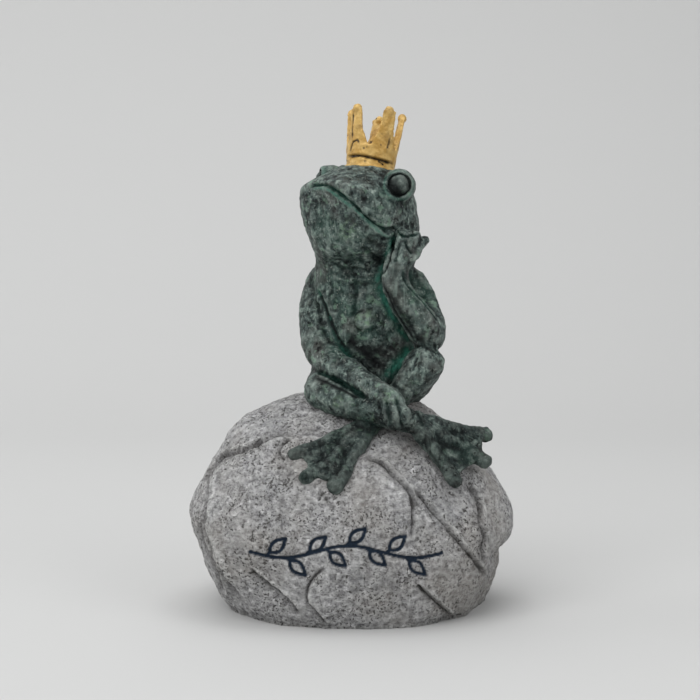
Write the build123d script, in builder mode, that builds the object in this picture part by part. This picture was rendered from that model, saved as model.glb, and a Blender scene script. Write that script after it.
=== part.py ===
from build123d import *
import os
from math import copysign, cos, radians, sin

# A crowned frog seated on a boulder: a garden ornament of painted cast resin.
# The frog, its limbs and its crown are separate castings, pinned and glued together.
# +Z is up, the frog's audience is at -Y, and the origin is the middle of the boulder's underside.
# All lengths are millimetres and all angles are degrees.

# Boulder
ROCK_WIDTH = 160.0
ROCK_DEPTH = 125.0
ROCK_HEIGHT = 107.0
PLATE_RISE = 3.4
STEP_RISE = 1.8
FLAKE_RISE = 3.9

# Torso, measured from the seat point just inside the boulder's crest
SEAT_X = 8.0
SEAT_Y = 5.0
SEAT_SINK = 5.0
TORSO_TURN = 20.0
NECK_HEIGHT = 69.0
NECK_SLOPE = 18.0
NECK_FRONT = 20.0
NECK_BACK = 19.0
NECK_HALF_WIDTH = 24.0

# Head, measured from the point midway between the eyes
EYE_POINT = (0.0, -7.0, 109.5)
HEAD_TURN = 40.0
HEAD_PITCH = 14.0
HEAD_ROLL = 3.0
MOUTH_SLOPE = 23.4
MOUTH_DROP = 24.9
SNOUT_LENGTH = 30.0
NAPE_LENGTH = 32.3
JAW_HALF_WIDTH = 27.6
LIP_GROOVE_DEPTH = 1.2
LIP_GROOVE_WIDTH = 0.9
EYE_SPREAD = 21.8
EYE_RADIUS = 8.3
CREST_HEIGHT = 7.5

# Limbs
SHOULDER_RADIUS = 7.5
ELBOW_RADIUS = 8.5
WRIST_RADIUS = 6.3
FINGER_RADIUS = 2.5
HIP_RADIUS = 12.0
KNEE_RADIUS = 9.2
SHIN_RADIUS = 7.0
ANKLE_RADIUS = 5.3
HEEL_RADIUS = 6.0
TOE_RADIUS = 3.4
TOE_BALL = 3.8
WEB_THICKNESS = 4.4
WEB_REACH = 0.98

# Crown
CROWN_RADIUS = 11.6
CROWN_FLARE = 3.0
CROWN_WALL = 2.6
CROWN_HEIGHT = 29.5
CROWN_BAND = 12.0
CROWN_FLOOR = 5.0
CROWN_POINTS = 5
CROWN_BALL = 2.3
CROWN_BEAD = 1.3
CROWN_LEAN = 6.5
CROWN_TIP_BACK = 9.0
CROWN_SINK = 2.5
SPIGOT_RADIUS = 5.0
SPIGOT_LENGTH = 6.0

# Pins that locate the castings on each other
ROD_RADIUS = 3.0
ROD_LENGTH = 44.0
DOWEL_RADIUS = 2.5
DOWEL_LENGTH = 26.0
PIN_RADIUS = 1.6
PIN_LENGTH = 11.0
PIN_CLEARANCE = 0.1

OVAL_STEPS = 12


def oval(front, back, half_width, squareness=2.0):
    """Points round a closed outline: local +X is the front, local +Y the left."""
    points = []
    for step in range(OVAL_STEPS):
        angle = radians(360 * step / OVAL_STEPS)
        along = copysign(abs(cos(angle)) ** (2 / squareness), cos(angle))
        across = copysign(abs(sin(angle)) ** (2 / squareness), sin(angle))
        points.append((along * (front if along > 0 else back), across * half_width))
    return points


def lofted(rings):
    """One smooth casting through a row of (plane, front, back, half width, squareness) ovals."""
    with BuildPart() as casting:
        for plane, *sizes in rings:
            with BuildSketch(plane):
                with BuildLine():
                    Spline(*oval(*sizes), periodic=True)
                make_face()
        loft()
    return casting.part


def limb(*stations):
    """A limb through (point, radius) stations, with its ends rounded off."""
    guide = Vector(0.3, 1, 0.2)
    centres = [Vector(point) for point, radius in stations]
    radii = [radius for point, radius in stations]
    first = (centres[1] - centres[0]).normalized()
    last = (centres[-1] - centres[-2]).normalized()
    middle = [(after - before).normalized() for before, after in zip(centres, centres[2:])]
    cap = [(0.6, 0.8), (0.93, 0.37)]
    rings = [(centres[0] - first * radii[0] * out, first, radii[0] * share) for out, share in reversed(cap)]
    rings += zip(centres, [first] + middle + [last], radii)
    rings += [(centres[-1] + last * radii[-1] * out, last, radii[-1] * share) for out, share in cap]
    with BuildPart() as casting:
        for centre, direction, radius in rings:
            across = guide - direction * direction.dot(guide)
            with BuildSketch(Plane(origin=centre, x_dir=across, z_dir=direction)):
                Circle(radius)
        loft()
    return casting.part


def pin(middle, direction, radius, length):
    """A round pin centred on a point."""
    direction = Vector(direction).normalized()
    with BuildPart() as rod:
        with BuildSketch(Plane(origin=Vector(middle) - direction * length / 2, z_dir=direction)):
            Circle(radius)
        extrude(amount=length)
    return rod.part


def bore(middle, direction, radius, length):
    """The hole that a pin is glued into."""
    return pin(middle, direction, radius + PIN_CLEARANCE, length + 2 * PIN_CLEARANCE)


# Boulder: rings from the underside to the crest, as shares of its half width, half depth and height
ROCK_RINGS = [
    # height, left, right, front, back, squareness
    (0.00, 0.70, 0.80, 0.80, 0.84, 2.1),
    (0.12, 0.86, 0.92, 0.93, 0.96, 2.3),
    (0.28, 0.95, 0.985, 1.00, 1.00, 2.5),
    (0.45, 1.00, 1.00, 0.98, 1.00, 2.5),
    (0.61, 0.935, 0.905, 0.87, 0.93, 2.5),
    (0.77, 0.80, 0.72, 0.68, 0.78, 2.5),
    (0.89, 0.66, 0.55, 0.46, 0.60, 2.4),
    (0.97, 0.42, 0.38, 0.24, 0.38, 2.2),
    (1.00, 0.15, 0.15, 0.08, 0.15, 2.0),
]


ROCK_FACE = ROCK_DEPTH / 2 - PLATE_RISE


def rock_outline(rise, left, right, front, back, squareness):
    """Points round one ring of the boulder, its front brought forward by a rise."""
    points = []
    for step in range(2 * OVAL_STEPS):
        angle = radians(360 * step / (2 * OVAL_STEPS))
        across = copysign(abs(cos(angle)) ** (2 / squareness), cos(angle))
        along = copysign(abs(sin(angle)) ** (2 / squareness), sin(angle))
        half_x = ROCK_WIDTH / 2 * (right if across > 0 else left)
        half_y = ROCK_DEPTH / 2 * back if along > 0 else ROCK_FACE * front + rise
        points.append((across * half_x, along * half_y))
    return points


def stone(rise):
    """The boulder's smooth form, its front brought forward by a rise."""
    with BuildPart() as lump:
        for height, *sizes in ROCK_RINGS:
            with BuildSketch(Plane.XY.offset(height * ROCK_HEIGHT)):
                with BuildLine():
                    Spline(*rock_outline(rise, *sizes), periodic=True)
                make_face()
        loft()
    return lump.part


# Plates that the front is broken into: how far each stands out, and its corners as shares of half width and height
PLATES = [
    (PLATE_RISE, [(-0.62, 0.12), (-0.72, 0.25), (-0.80, 0.39), (-0.83, 0.51), (-0.81, 0.62), (-0.79, 0.70),
                  (-0.70, 0.76), (-0.53, 0.80), (-0.39, 0.84), (-0.12, 0.84), (0.08, 0.77), (0.20, 0.75),
                  (0.33, 0.65), (0.38, 0.59), (0.39, 0.49), (0.37, 0.38), (0.51, 0.22), (0.53, -0.05), (-0.59, -0.05)]),
    (STEP_RISE, [(0.00, 0.71), (0.35, 0.68), (0.43, 0.60), (0.54, 0.50), (0.64, 0.41), (0.73, 0.33),
                 (0.81, 0.23), (0.83, -0.05), (-0.30, -0.05)]),
    (FLAKE_RISE, [(-0.12, -0.05), (-0.21, 0.10), (-0.25, 0.13), (-0.24, 0.18), (-0.15, 0.26), (0.00, 0.28),
                  (0.27, 0.26), (0.47, 0.15), (0.62, 0.04), (0.62, -0.05)]),
]
# Broken faces: the way each one looks, as degrees round from +X and up, and its share of the full reach
BROKEN_FACES = [
    (38, 8, 0.945),
    (68, 30, 0.93),
    (98, -6, 0.965),
    (128, 22, 0.94),
    (152, -10, 0.955),
    (170, 34, 0.94),
    (12, 38, 0.93),
    (318, 20, 0.945),
    (342, -22, 0.95),
    (214, 30, 0.945),
    (205, -18, 0.95),
]



def plate(rise, corners):
    """One plate of stone, standing out from the smooth form by its rise."""
    with BuildPart() as slab:
        with BuildSketch(Plane.XZ):
            with BuildLine():
                Polyline(*((x * ROCK_WIDTH / 2, z * ROCK_HEIGHT) for x, z in corners), close=True)
            make_face()
        extrude(amount=ROCK_DEPTH)
        add(stone(rise), mode=Mode.INTERSECT)
    return slab.part


with BuildPart() as boulder:
    add(stone(0))
    for rise, corners in PLATES:
        add(plate(rise, corners))
    for turn, tilt, share in BROKEN_FACES:
        way = Vector(cos(radians(turn)) * cos(radians(tilt)), sin(radians(turn)) * cos(radians(tilt)), sin(radians(tilt)))
        halves = zip((way.X, way.Y, way.Z), (ROCK_WIDTH / 2, ROCK_DEPTH / 2, ROCK_HEIGHT * 0.55))
        reach = sum(abs(part * half) ** 1.67 for part, half in halves) ** (1 / 1.67)
        middle = Vector(0, 0, ROCK_HEIGHT * 0.45)
        split(bisect_by=Plane(origin=middle + way * reach * share, z_dir=way), keep=Keep.BOTTOM)

SEAT = Vector(SEAT_X, SEAT_Y, ROCK_HEIGHT - SEAT_SINK)


def at(x, y, z):
    """A point measured from the seat."""
    return SEAT + Vector(x, y, z)


def on_rock(x, y, z):
    """A point given as shares of the boulder's half width, half depth and height."""
    return Vector(x * ROCK_WIDTH / 2, y * ROCK_FACE, z * ROCK_HEIGHT)


# Torso: turned a little to its own right
torso_frame = Pos(SEAT) * Rot(Z=-90 - TORSO_TURN)


def in_torso(forward, left, up):
    return (torso_frame * Pos(forward, left, up)).position


def torso_ring(height, shift, *sizes):
    return Plane(torso_frame * Pos(shift, 0, height)), *sizes


neck_frame = torso_frame * Pos(3, 0, NECK_HEIGHT) * Rot(Y=-NECK_SLOPE)
neck_ring = (Plane(neck_frame), NECK_FRONT, NECK_BACK, NECK_HALF_WIDTH)
torso_body = lofted(
    [
        torso_ring(0, 0, 17, 20, 23),
        torso_ring(9, 0, 21, 22, 27.5),
        torso_ring(24, 1.5, 22, 21, 27),
        torso_ring(40, 2, 21, 20, 25),
        torso_ring(54, 2, 19.5, 19, 26.5),
        neck_ring,
    ]
)

# Head: turned further, chin lifted and leaning on the left hand
head_frame = Pos(at(*EYE_POINT)) * Rot(Z=-90 - HEAD_TURN) * Rot(Y=-HEAD_PITCH) * Rot(X=-HEAD_ROLL)


def in_head(forward, left, up):
    return (head_frame * Pos(forward, left, up)).position


def head_ring(slope, shift, up, *sizes):
    return Plane(head_frame * Pos(shift, 0, up) * Rot(Y=-slope)), *sizes


lip_ring = head_ring(MOUTH_SLOPE, 0, -MOUTH_DROP, SNOUT_LENGTH, NAPE_LENGTH, JAW_HALF_WIDTH, 2.8)
skull = lofted(
    [
        neck_ring,
        head_ring(13, 1, -34, 21.5, 22, 22.5, 2.2),
        lip_ring,
        head_ring(6, 0, -8, 27, 28, 25.5, 2.4),
        head_ring(0, -2, CREST_HEIGHT / 2, 17, 20, 19),
        head_ring(0, -2, CREST_HEIGHT, 10, 14, 13),
    ]
)
with BuildPart() as mouth_groove:
    with BuildSketch(lip_ring[0]):
        with Locations((SNOUT_LENGTH / 2, 0)):
            Rectangle(2 * SNOUT_LENGTH, 3 * JAW_HALF_WIDTH)
        with BuildLine():
            Spline(*oval(*(size - LIP_GROOVE_DEPTH for size in lip_ring[1:4]), 2.8), periodic=True)
        make_face(mode=Mode.SUBTRACT)
    extrude(amount=LIP_GROOVE_WIDTH / 2, both=True)

# Crown: a flared ring of points with ball tips, cast with a spigot under its floor
crown_frame = Pos(in_head(-1, 0, CREST_HEIGHT - CROWN_SINK)) * Rot(Y=CROWN_LEAN) * Rot(X=-CROWN_TIP_BACK)
with BuildPart() as crown:
    with BuildSketch(Plane(crown_frame * Rot(X=90))):
        with BuildLine():
            Polyline(
                (0, -SPIGOT_LENGTH),
                (SPIGOT_RADIUS, -SPIGOT_LENGTH),
                (SPIGOT_RADIUS, 0),
                (CROWN_RADIUS, 0),
                (CROWN_RADIUS + CROWN_FLARE, CROWN_HEIGHT),
                (CROWN_RADIUS + CROWN_FLARE - CROWN_WALL, CROWN_HEIGHT),
                (CROWN_RADIUS - CROWN_WALL, CROWN_FLOOR),
                (0, CROWN_FLOOR),
                close=True,
            )
        make_face()
    crown_axis = Plane(crown_frame)
    revolve(axis=Axis(crown_axis.origin, crown_axis.z_dir))
    notch = 2 * (CROWN_RADIUS + CROWN_FLARE) * sin(radians(180 / CROWN_POINTS)) - 2 * CROWN_BALL
    for step in range(CROWN_POINTS):
        with BuildSketch(Plane(crown_frame * Rot(Z=-90 + 360 * step / CROWN_POINTS) * Rot(Y=90))):
            with BuildLine():
                Polyline(
                    (-CROWN_BAND, -0.8),
                    (-CROWN_BAND, 0.8),
                    (-CROWN_BAND * 0.55 - CROWN_HEIGHT * 0.45, notch * 0.34),
                    (-CROWN_HEIGHT - CROWN_BALL, notch * 0.45),
                    (-CROWN_HEIGHT - CROWN_BALL, -notch * 0.45),
                    (-CROWN_BAND * 0.55 - CROWN_HEIGHT * 0.45, -notch * 0.34),
                    close=True,
                )
            make_face()
        extrude(amount=2 * CROWN_RADIUS, mode=Mode.SUBTRACT)
    tip = CROWN_RADIUS + CROWN_FLARE - CROWN_WALL / 2
    for step in range(CROWN_POINTS):
        angle = Rot(Z=-90 + 360 * (step + 0.5) / CROWN_POINTS)
        with Locations(crown_frame * angle * Pos(tip, 0, CROWN_HEIGHT)):
            Sphere(CROWN_BALL)
    with Locations(crown_frame * Pos(0, 0, CROWN_BEAD)):
        Torus(CROWN_RADIUS, CROWN_BEAD)


def finger(palm, knuckle, end):
    """A finger rooted inside the palm."""
    root = palm + (knuckle - palm) * 0.3
    return limb((root, FINGER_RADIUS * 1.2), (knuckle, FINGER_RADIUS), (end, FINGER_RADIUS))


# Arms: the left props the chin from the knee, the right lies along the shin
left_shoulder = in_torso(0, 24, 60)
right_shoulder = in_torso(0, -24, 60)
left_elbow = at(30.2, -21.5, 35.3)
left_palm = at(17.5, -27, 75)
right_elbow = at(-20.8, -10.5, 24)
right_knuckles = at(12.5, -44, 5)
left_upper_arm = limb((left_shoulder, SHOULDER_RADIUS), (at(28.6, -12, 49), 7.2), (left_elbow, ELBOW_RADIUS))
left_forearm = limb(
    (left_elbow, ELBOW_RADIUS),
    (at(20.3, -27, 49.5), 7.6),
    (at(13.8, -29, 65), WRIST_RADIUS),
    (left_palm, 6.4),
)
left_fingers = [
    finger(left_palm, at(15.1, -29.5, 81), at(15.4, -27, 85)),
    finger(left_palm, at(19, -29.5, 81), at(19.8, -26.5, 84.5)),
    finger(left_palm, at(22.2, -27, 80), at(24.3, -22, 83.5)),
    finger(left_palm, at(24, -24.5, 77), at(28, -17.5, 81)),
]
right_upper_arm = limb(
    (right_shoulder, SHOULDER_RADIUS), (at(-25.6, 1, 46), 8.0), (at(-24.6, -5, 34), 8.3), (right_elbow, ELBOW_RADIUS)
)
right_forearm = limb(
    (right_elbow, ELBOW_RADIUS), (at(-8, -24, 16.3), 7.4), (at(4, -35.5, 9), WRIST_RADIUS), (right_knuckles, 5.6)
)
right_fingers = [
    finger(right_knuckles, at(9.5, -48, 1), at(11.5, -47.5, -5.5)),
    finger(right_knuckles, at(13.8, -49.5, 0.5), at(15.4, -48.2, -6)),
    finger(right_knuckles, at(18, -49, 1), at(19.8, -48, -4.5)),
]

# Legs: crossed, the right shin in front
left_hip = in_torso(-4, 18, 9)
right_hip = in_torso(-4, -18, 9)
left_knee = at(29, -25, 21)
right_knee = at(-21, -20, 7)
left_ankle = at(0, -37, -8.5)
right_ankle = at(23, -43, -5)
left_shin_low = at(7, -30, -3)
right_shin_low = at(10, -41, -2)
left_thigh = limb((left_hip, HIP_RADIUS), (left_knee, KNEE_RADIUS))
left_shin = limb(
    (left_knee, KNEE_RADIUS - 0.5), (at(17, -27, 7), SHIN_RADIUS), (left_shin_low, 5.8), (left_ankle, ANKLE_RADIUS)
)
right_thigh = limb((right_hip, HIP_RADIUS), (right_knee, KNEE_RADIUS + 0.5))
right_shin = limb(
    (right_knee, KNEE_RADIUS), (at(-4, -34, 1), SHIN_RADIUS), (right_shin_low, 6.3), (right_ankle, ANKLE_RADIUS)
)


def foot(ankle, tips):
    """A webbed foot: a toe with a ball tip to each point, and a web between neighbours."""
    with BuildPart() as casting:
        with Locations(ankle):
            Sphere(HEEL_RADIUS)
        for tip in tips:
            root = ankle + (tip - ankle) * 0.12
            middle = ankle + (tip - ankle) * 0.55
            add(limb((root, HEEL_RADIUS * 0.75), (middle, TOE_RADIUS), (tip, TOE_RADIUS)))
            with Locations(tip):
                Sphere(TOE_BALL)
        for tip, beside in zip(tips, tips[1:]):
            near, far = ankle + (tip - ankle) * WEB_REACH, ankle + (beside - ankle) * WEB_REACH
            hollow = ankle + (near + far - ankle * 2) * 0.48
            web_plane = Plane(origin=ankle, x_dir=far - near, z_dir=(near - ankle).cross(far - ankle))
            corners = [web_plane.to_local_coords(point) for point in (ankle, near, hollow, far)]
            with BuildSketch(web_plane):
                with BuildLine():
                    Line(corners[0], corners[1])
                    ThreePointArc(corners[1], corners[2], corners[3])
                    Line(corners[3], corners[0])
                make_face()
            extrude(amount=WEB_THICKNESS / 2, both=True)
    return casting.part


left_toes = [on_rock(-0.33, -0.715, 0.765), on_rock(-0.225, -0.89, 0.67), on_rock(-0.07, -0.95, 0.63)]
right_toes = [on_rock(0.825, -0.4, 0.83), on_rock(0.81, -0.56, 0.725), on_rock(0.62, -0.77, 0.655)]
left_foot_body = foot(left_ankle, left_toes)
right_foot_body = foot(right_ankle, right_toes)

# Pins
sideways = in_torso(0, 1, 0) - SEAT
left_thigh_line = left_knee - left_hip
right_thigh_line = right_knee - right_hip
rod_place = (at(0, 0, 4), (0, 0, 1), ROD_RADIUS, ROD_LENGTH)
dowel_place = (neck_frame.position, Plane(neck_frame).z_dir, DOWEL_RADIUS, DOWEL_LENGTH)
shoulder_places = [(in_torso(0, side * 23.5, 60), sideways, PIN_RADIUS, PIN_LENGTH) for side in (1, -1)]
hip_places = [
    (left_hip + left_thigh_line * 0.5, left_thigh_line, PIN_RADIUS, PIN_LENGTH),
    (right_hip + right_thigh_line * 0.72, right_thigh_line, PIN_RADIUS, PIN_LENGTH),
]

with BuildPart() as seat_rod:
    add(pin(*rod_place))

with BuildPart() as neck_dowel:
    add(pin(*dowel_place))

with BuildPart() as shoulder_pins:
    for place in shoulder_places:
        add(pin(*place))

with BuildPart() as hip_pins:
    for place in hip_places:
        add(pin(*place))

with BuildPart() as rock_base:
    add(boulder.part)
    add(bore(*rod_place), mode=Mode.SUBTRACT)

with BuildPart() as torso:
    add(torso_body)
    add(boulder.part, mode=Mode.SUBTRACT)
    for place in [rod_place, dowel_place, *shoulder_places, *hip_places]:
        add(bore(*place), mode=Mode.SUBTRACT)

with BuildPart() as head:
    add(skull)
    with Locations(in_head(1, EYE_SPREAD, -1), in_head(1, -EYE_SPREAD, -1)):
        Sphere(EYE_RADIUS)
    add(mouth_groove.part, mode=Mode.SUBTRACT)
    add(crown.part, mode=Mode.SUBTRACT)
    add(bore(*dowel_place), mode=Mode.SUBTRACT)

with BuildPart() as right_foot:
    add(right_foot_body)
    add(boulder.part, mode=Mode.SUBTRACT)

with BuildPart() as left_foot:
    add(left_foot_body)
    add(boulder.part, mode=Mode.SUBTRACT)

with BuildPart() as right_leg:
    add(right_thigh)
    add(right_shin)
    for neighbour in (torso_body, boulder.part, right_foot_body, left_foot_body):
        add(neighbour, mode=Mode.SUBTRACT)
    add(bore(*hip_places[1]), mode=Mode.SUBTRACT)

with BuildPart() as left_leg:
    add(left_thigh)
    add(left_shin)
    for neighbour in (torso_body, boulder.part, left_foot_body, right_shin):
        add(neighbour, mode=Mode.SUBTRACT)
    add(bore(*hip_places[0]), mode=Mode.SUBTRACT)

with BuildPart() as left_arm:
    add(left_upper_arm)
    add(left_forearm)
    for finger in left_fingers:
        add(finger)
    for neighbour in (torso_body, skull, left_thigh, left_shin):
        add(neighbour, mode=Mode.SUBTRACT)
    add(bore(*shoulder_places[0]), mode=Mode.SUBTRACT)

with BuildPart() as right_arm:
    add(right_upper_arm)
    add(right_forearm)
    for finger in right_fingers:
        add(finger)
    for neighbour in (torso_body, right_thigh, right_shin, left_thigh, left_shin, right_foot_body):
        add(neighbour, mode=Mode.SUBTRACT)
    add(bore(*shoulder_places[1]), mode=Mode.SUBTRACT)


os.makedirs("parts", exist_ok=True)
rock_base.part.label = "rock_base"
export_step(rock_base.part, "parts/rock_base.step")
torso.part.label = "torso"
export_step(torso.part, "parts/torso.step")
head.part.label = "head"
export_step(head.part, "parts/head.step")
crown.part.label = "crown"
export_step(crown.part, "parts/crown.step")
left_arm.part.label = "left_arm"
export_step(left_arm.part, "parts/left_arm.step")
right_arm.part.label = "right_arm"
export_step(right_arm.part, "parts/right_arm.step")
left_leg.part.label = "left_leg"
export_step(left_leg.part, "parts/left_leg.step")
right_leg.part.label = "right_leg"
export_step(right_leg.part, "parts/right_leg.step")
left_foot.part.label = "left_foot"
export_step(left_foot.part, "parts/left_foot.step")
right_foot.part.label = "right_foot"
export_step(right_foot.part, "parts/right_foot.step")
seat_rod.part.label = "seat_rod"
export_step(seat_rod.part, "parts/seat_rod.step")
neck_dowel.part.label = "neck_dowel"
export_step(neck_dowel.part, "parts/neck_dowel.step")
shoulder_pins.part.label = "shoulder_pins"
export_step(shoulder_pins.part, "parts/shoulder_pins.step")
hip_pins.part.label = "hip_pins"
export_step(hip_pins.part, "parts/hip_pins.step")
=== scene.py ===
import math
import bpy
import numpy as np
from mathutils import Matrix, Vector
from mathutils.bvhtree import BVHTree


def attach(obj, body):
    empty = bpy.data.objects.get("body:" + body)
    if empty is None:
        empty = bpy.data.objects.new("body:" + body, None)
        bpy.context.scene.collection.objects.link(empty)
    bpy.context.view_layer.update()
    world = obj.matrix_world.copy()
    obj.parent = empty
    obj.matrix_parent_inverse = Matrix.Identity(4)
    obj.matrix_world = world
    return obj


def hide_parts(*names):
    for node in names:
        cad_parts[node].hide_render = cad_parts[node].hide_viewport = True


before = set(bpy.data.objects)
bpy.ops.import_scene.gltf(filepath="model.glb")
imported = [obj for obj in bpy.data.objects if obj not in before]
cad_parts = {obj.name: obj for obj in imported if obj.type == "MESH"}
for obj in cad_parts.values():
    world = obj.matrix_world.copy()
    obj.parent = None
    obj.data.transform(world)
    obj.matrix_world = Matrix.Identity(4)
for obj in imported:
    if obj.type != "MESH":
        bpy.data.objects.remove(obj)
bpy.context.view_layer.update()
bpy.ops.object.select_all(action="DESELECT")
scene = bpy.context.scene

# The camera stands in front of the boulder at the height of the frog's mouth, tipped a little down, with a
# long lens. Creases and ledges read off the photo are laid on the castings along its lines of sight.
CAMERA_AT = Vector((0.0, -0.8, 0.2))
CAMERA_DOWN = math.radians(5.13)
PHOTO_SIZE = 700
LENS_PIXELS = 1606
SENSOR = 36

lens = bpy.data.cameras.new("photo_camera")
lens.sensor_width = SENSOR
lens.lens = SENSOR * LENS_PIXELS / PHOTO_SIZE
lens.clip_start = 0.01
camera = bpy.data.objects.new("photo_camera", lens)
scene.collection.objects.link(camera)
camera.location = CAMERA_AT
camera.rotation_euler = (math.pi / 2 - CAMERA_DOWN, 0, 0)
scene.camera = camera

# The boulder: a hollow resin casting with the ledges and pits of quarried stone in its mould.
# It is painted stone grey, with a darker wash and painted shade in the pits and under the ledges.
ROCK_VOXEL = 0.00115
FACET_SIZE, FACET_DEPTH, FACET_LEVEL = 0.026, 0.0020, 0.45
LUMP_SIZE, LUMP_DEPTH = 0.015, 0.0024
GRAIN_SIZE, GRAIN_DEPTH = 0.0036, 0.0012
ROCK_BUMP = 0.0020
ROCK_GREY = "#626163"
ROCK_PALE = "#d9d8d9"
ROCK_WARM = "#9a938b"
ROCK_COOL = "#64676c"
ROCK_RIPPLE = "#cfcfcc"
ROCK_BRUSHED_AND_HIGHLIGHT = "#d6d6d3"
ROCK_RIM = "#dededb"
ROCK_WASH_AND_SHADE = "#393734"
INK = "#1d2b3b"


def take(piece):
    """Selects one piece alone and makes it the active one."""
    bpy.ops.object.select_all(action="DESELECT")
    piece.select_set(True)
    bpy.context.view_layer.objects.active = piece


def casting_copy(name, *nodes):
    """One new mesh from copies of castings, with their loose triangles merged."""
    bpy.ops.object.select_all(action="DESELECT")
    for casting in nodes:
        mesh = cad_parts[casting].data.copy()
        mesh.materials.clear()
        twin = bpy.data.objects.new(name, mesh)
        scene.collection.objects.link(twin)
        twin.select_set(True)
        bpy.context.view_layer.objects.active = twin
    if len(nodes) > 1:
        bpy.ops.object.join()
    piece = bpy.context.view_layer.objects.active
    bpy.ops.object.mode_set(mode="EDIT")
    bpy.ops.mesh.select_all(action="SELECT")
    bpy.ops.mesh.remove_doubles(threshold=1e-6)
    bpy.ops.object.mode_set(mode="OBJECT")
    return piece


def worked(piece, kind, **settings):
    """Adds one modifier to a piece and applies it."""
    take(piece)
    tool = piece.modifiers.new(kind, kind)
    for key, value in settings.items():
        setattr(tool, key, value)
    bpy.ops.object.modifier_apply(modifier=tool.name)


def roughen(piece, name, kind, size, depth, level=0.5, **settings):
    """Roughens a piece with a pattern whose marks have the given size and depth in metres."""
    pattern = bpy.data.textures.new(name, kind)
    pattern.noise_scale = size
    for key, value in settings.items():
        setattr(pattern, key, value)
    worked(piece, "DISPLACE", texture=pattern, texture_coords="LOCAL", strength=depth, mid_level=level)


rock = casting_copy("boulder", "rock_base")
worked(rock, "REMESH", mode="VOXEL", voxel_size=ROCK_VOXEL)
worked(rock, "SMOOTH", factor=0.5, iterations=4)
roughen(rock, "facets", "VORONOI", FACET_SIZE, FACET_DEPTH, FACET_LEVEL,
        distance_metric="DISTANCE", noise_intensity=1.0)
roughen(rock, "lumps", "CLOUDS", LUMP_SIZE, LUMP_DEPTH, noise_depth=2)

# Each break in the stone: its line in the photo, how far the shelf stands out, how many pixels it reaches,
# and how much dark wash and painted shadow lies at its foot
BREAKS = (
    (((245, 601), (237, 587), (229, 573), (222, 559), (215, 543), (210, 527), (209, 512), (212, 498),
      (212, 486), (214, 477), (220, 467), (231, 460), (246, 454), (259, 449), (271, 442), (284, 437),
      (300, 438)), 0.0022, 60, 1.0),
    (((226, 590), (222, 575), (214, 556), (206, 540), (203, 520)), 0.0016, 14, 1.0),
    (((200, 478), (216, 454), (236, 450), (252, 446), (262, 438)), -0.0016, 16, 0.62),
    (((364, 456), (373, 457), (381, 460), (388, 466), (398, 475), (406, 483), (412, 489), (415, 498),
      (416, 511), (415, 524), (413, 540)), -0.0022, 20, 0.62),
    (((417, 488), (423, 496), (431, 506), (442, 518), (450, 527), (458, 537), (467, 549), (474, 556),
      (481, 565), (487, 576)), -0.0017, 26, 0.62),
    (((466, 480), (474, 488), (480, 498), (483, 508), (482, 520), (486, 531), (488, 539), (484, 548),
      (486, 564)), -0.0016, 14, 0.62),
    (((252, 569), (266, 581), (277, 589), (291, 601), (300, 614)), -0.0018, 18, 0.62),
    (((329, 623), (324, 618), (315, 607), (308, 599), (309, 588), (315, 578), (324, 570)), 0.0018, 40, 0.62),
    (((418, 584), (430, 595), (441, 604), (452, 615)), -0.0020, 20, 0.62),
    (((286, 459), (281, 454), (282, 448), (290, 441)), 0.0010, 12, 0.62),
)
BREAK_FINE = 6


def rounded(path, rounds=2):
    """A path with its corners cut off, so that it runs in a smooth curve."""
    line = [np.array(p, dtype=float) for p in path]
    for step in range(rounds):
        inner = []
        for a, b in zip(line, line[1:]):
            inner += [a * 0.75 + b * 0.25, a * 0.25 + b * 0.75]
        line = [line[0]] + inner + [line[-1]]
    return line


breaks = [(rounded(path), *rest) for path, *rest in BREAKS]

# A plain garden sprig is cut into the front and filled with dark blue ink. It is laid out in pixels of the
# photo: a waved stem, with leaves turned up and down by turns.
SPRIG_LEFT, SPRIG_RIGHT, SPRIG_LEVEL = 250, 446, 552
SPRIG_WAVE, SPRIG_STEP, SPRIG_FINE = 6, 4, 7
SPRIG_DEPTH, SPRIG_WIDE = 0.0011, 1.7
INK_EDGE, INK_FADE = 2.3, 0.8
LEAVES, FIRST_LEAF, LEAF_STEP = 8, 4, 5
LEAF_LEAN = math.radians(42)
LEAF_STALK, LEAF_LONG, LEAF_HALF = 5, 21, 5.4
stem = []
for x in range(SPRIG_LEFT, SPRIG_RIGHT, SPRIG_STEP):
    swing = math.sin((x - SPRIG_LEFT) / (SPRIG_RIGHT - SPRIG_LEFT) * 3 * math.pi)
    stem.append((x, SPRIG_LEVEL + SPRIG_WAVE * swing))
sprig = [stem]
for i in range(LEAVES):
    root = np.array(stem[FIRST_LEAF + LEAF_STEP * i])
    lean = LEAF_LEAN if i % 2 else -LEAF_LEAN
    way = np.array((math.cos(lean), math.sin(lean)))
    wide = np.array((-way[1], way[0]))
    half = [(t, LEAF_HALF * math.sin(math.pi * t ** 0.85)) for t in np.linspace(0, 1, 9)]
    edge = half + [(t, -w) for t, w in reversed(half[:-1])]
    leaf = [root + way * (LEAF_STALK + LEAF_LONG * t) + wide * w for t, w in edge]
    sprig.append(leaf)
    sprig.append([root, leaf[0]])


def to_path(points, path):
    """Distance of points from a path, side of it (1 or -1) and place along it from 0 to 1."""
    best = np.full(len(points), 1e9)
    side = np.ones(len(points))
    along = np.zeros(len(points))
    legs = len(path) - 1
    for i in range(legs):
        start = np.array(path[i], dtype=float)
        step = np.array(path[i + 1], dtype=float) - start
        run = np.clip((points - start) @ step / (step @ step), 0, 1)
        off = points - (start + run[:, None] * step)
        far = np.linalg.norm(off, axis=1)
        near = far < best
        best[near] = far[near]
        along[near] = (i + run[near]) / legs
        if points.shape[1] == 2:
            turn = step[0] * off[:, 1] - step[1] * off[:, 0]
            side[near] = np.where(turn[near] >= 0, 1, -1)
    return best, side, along


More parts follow.
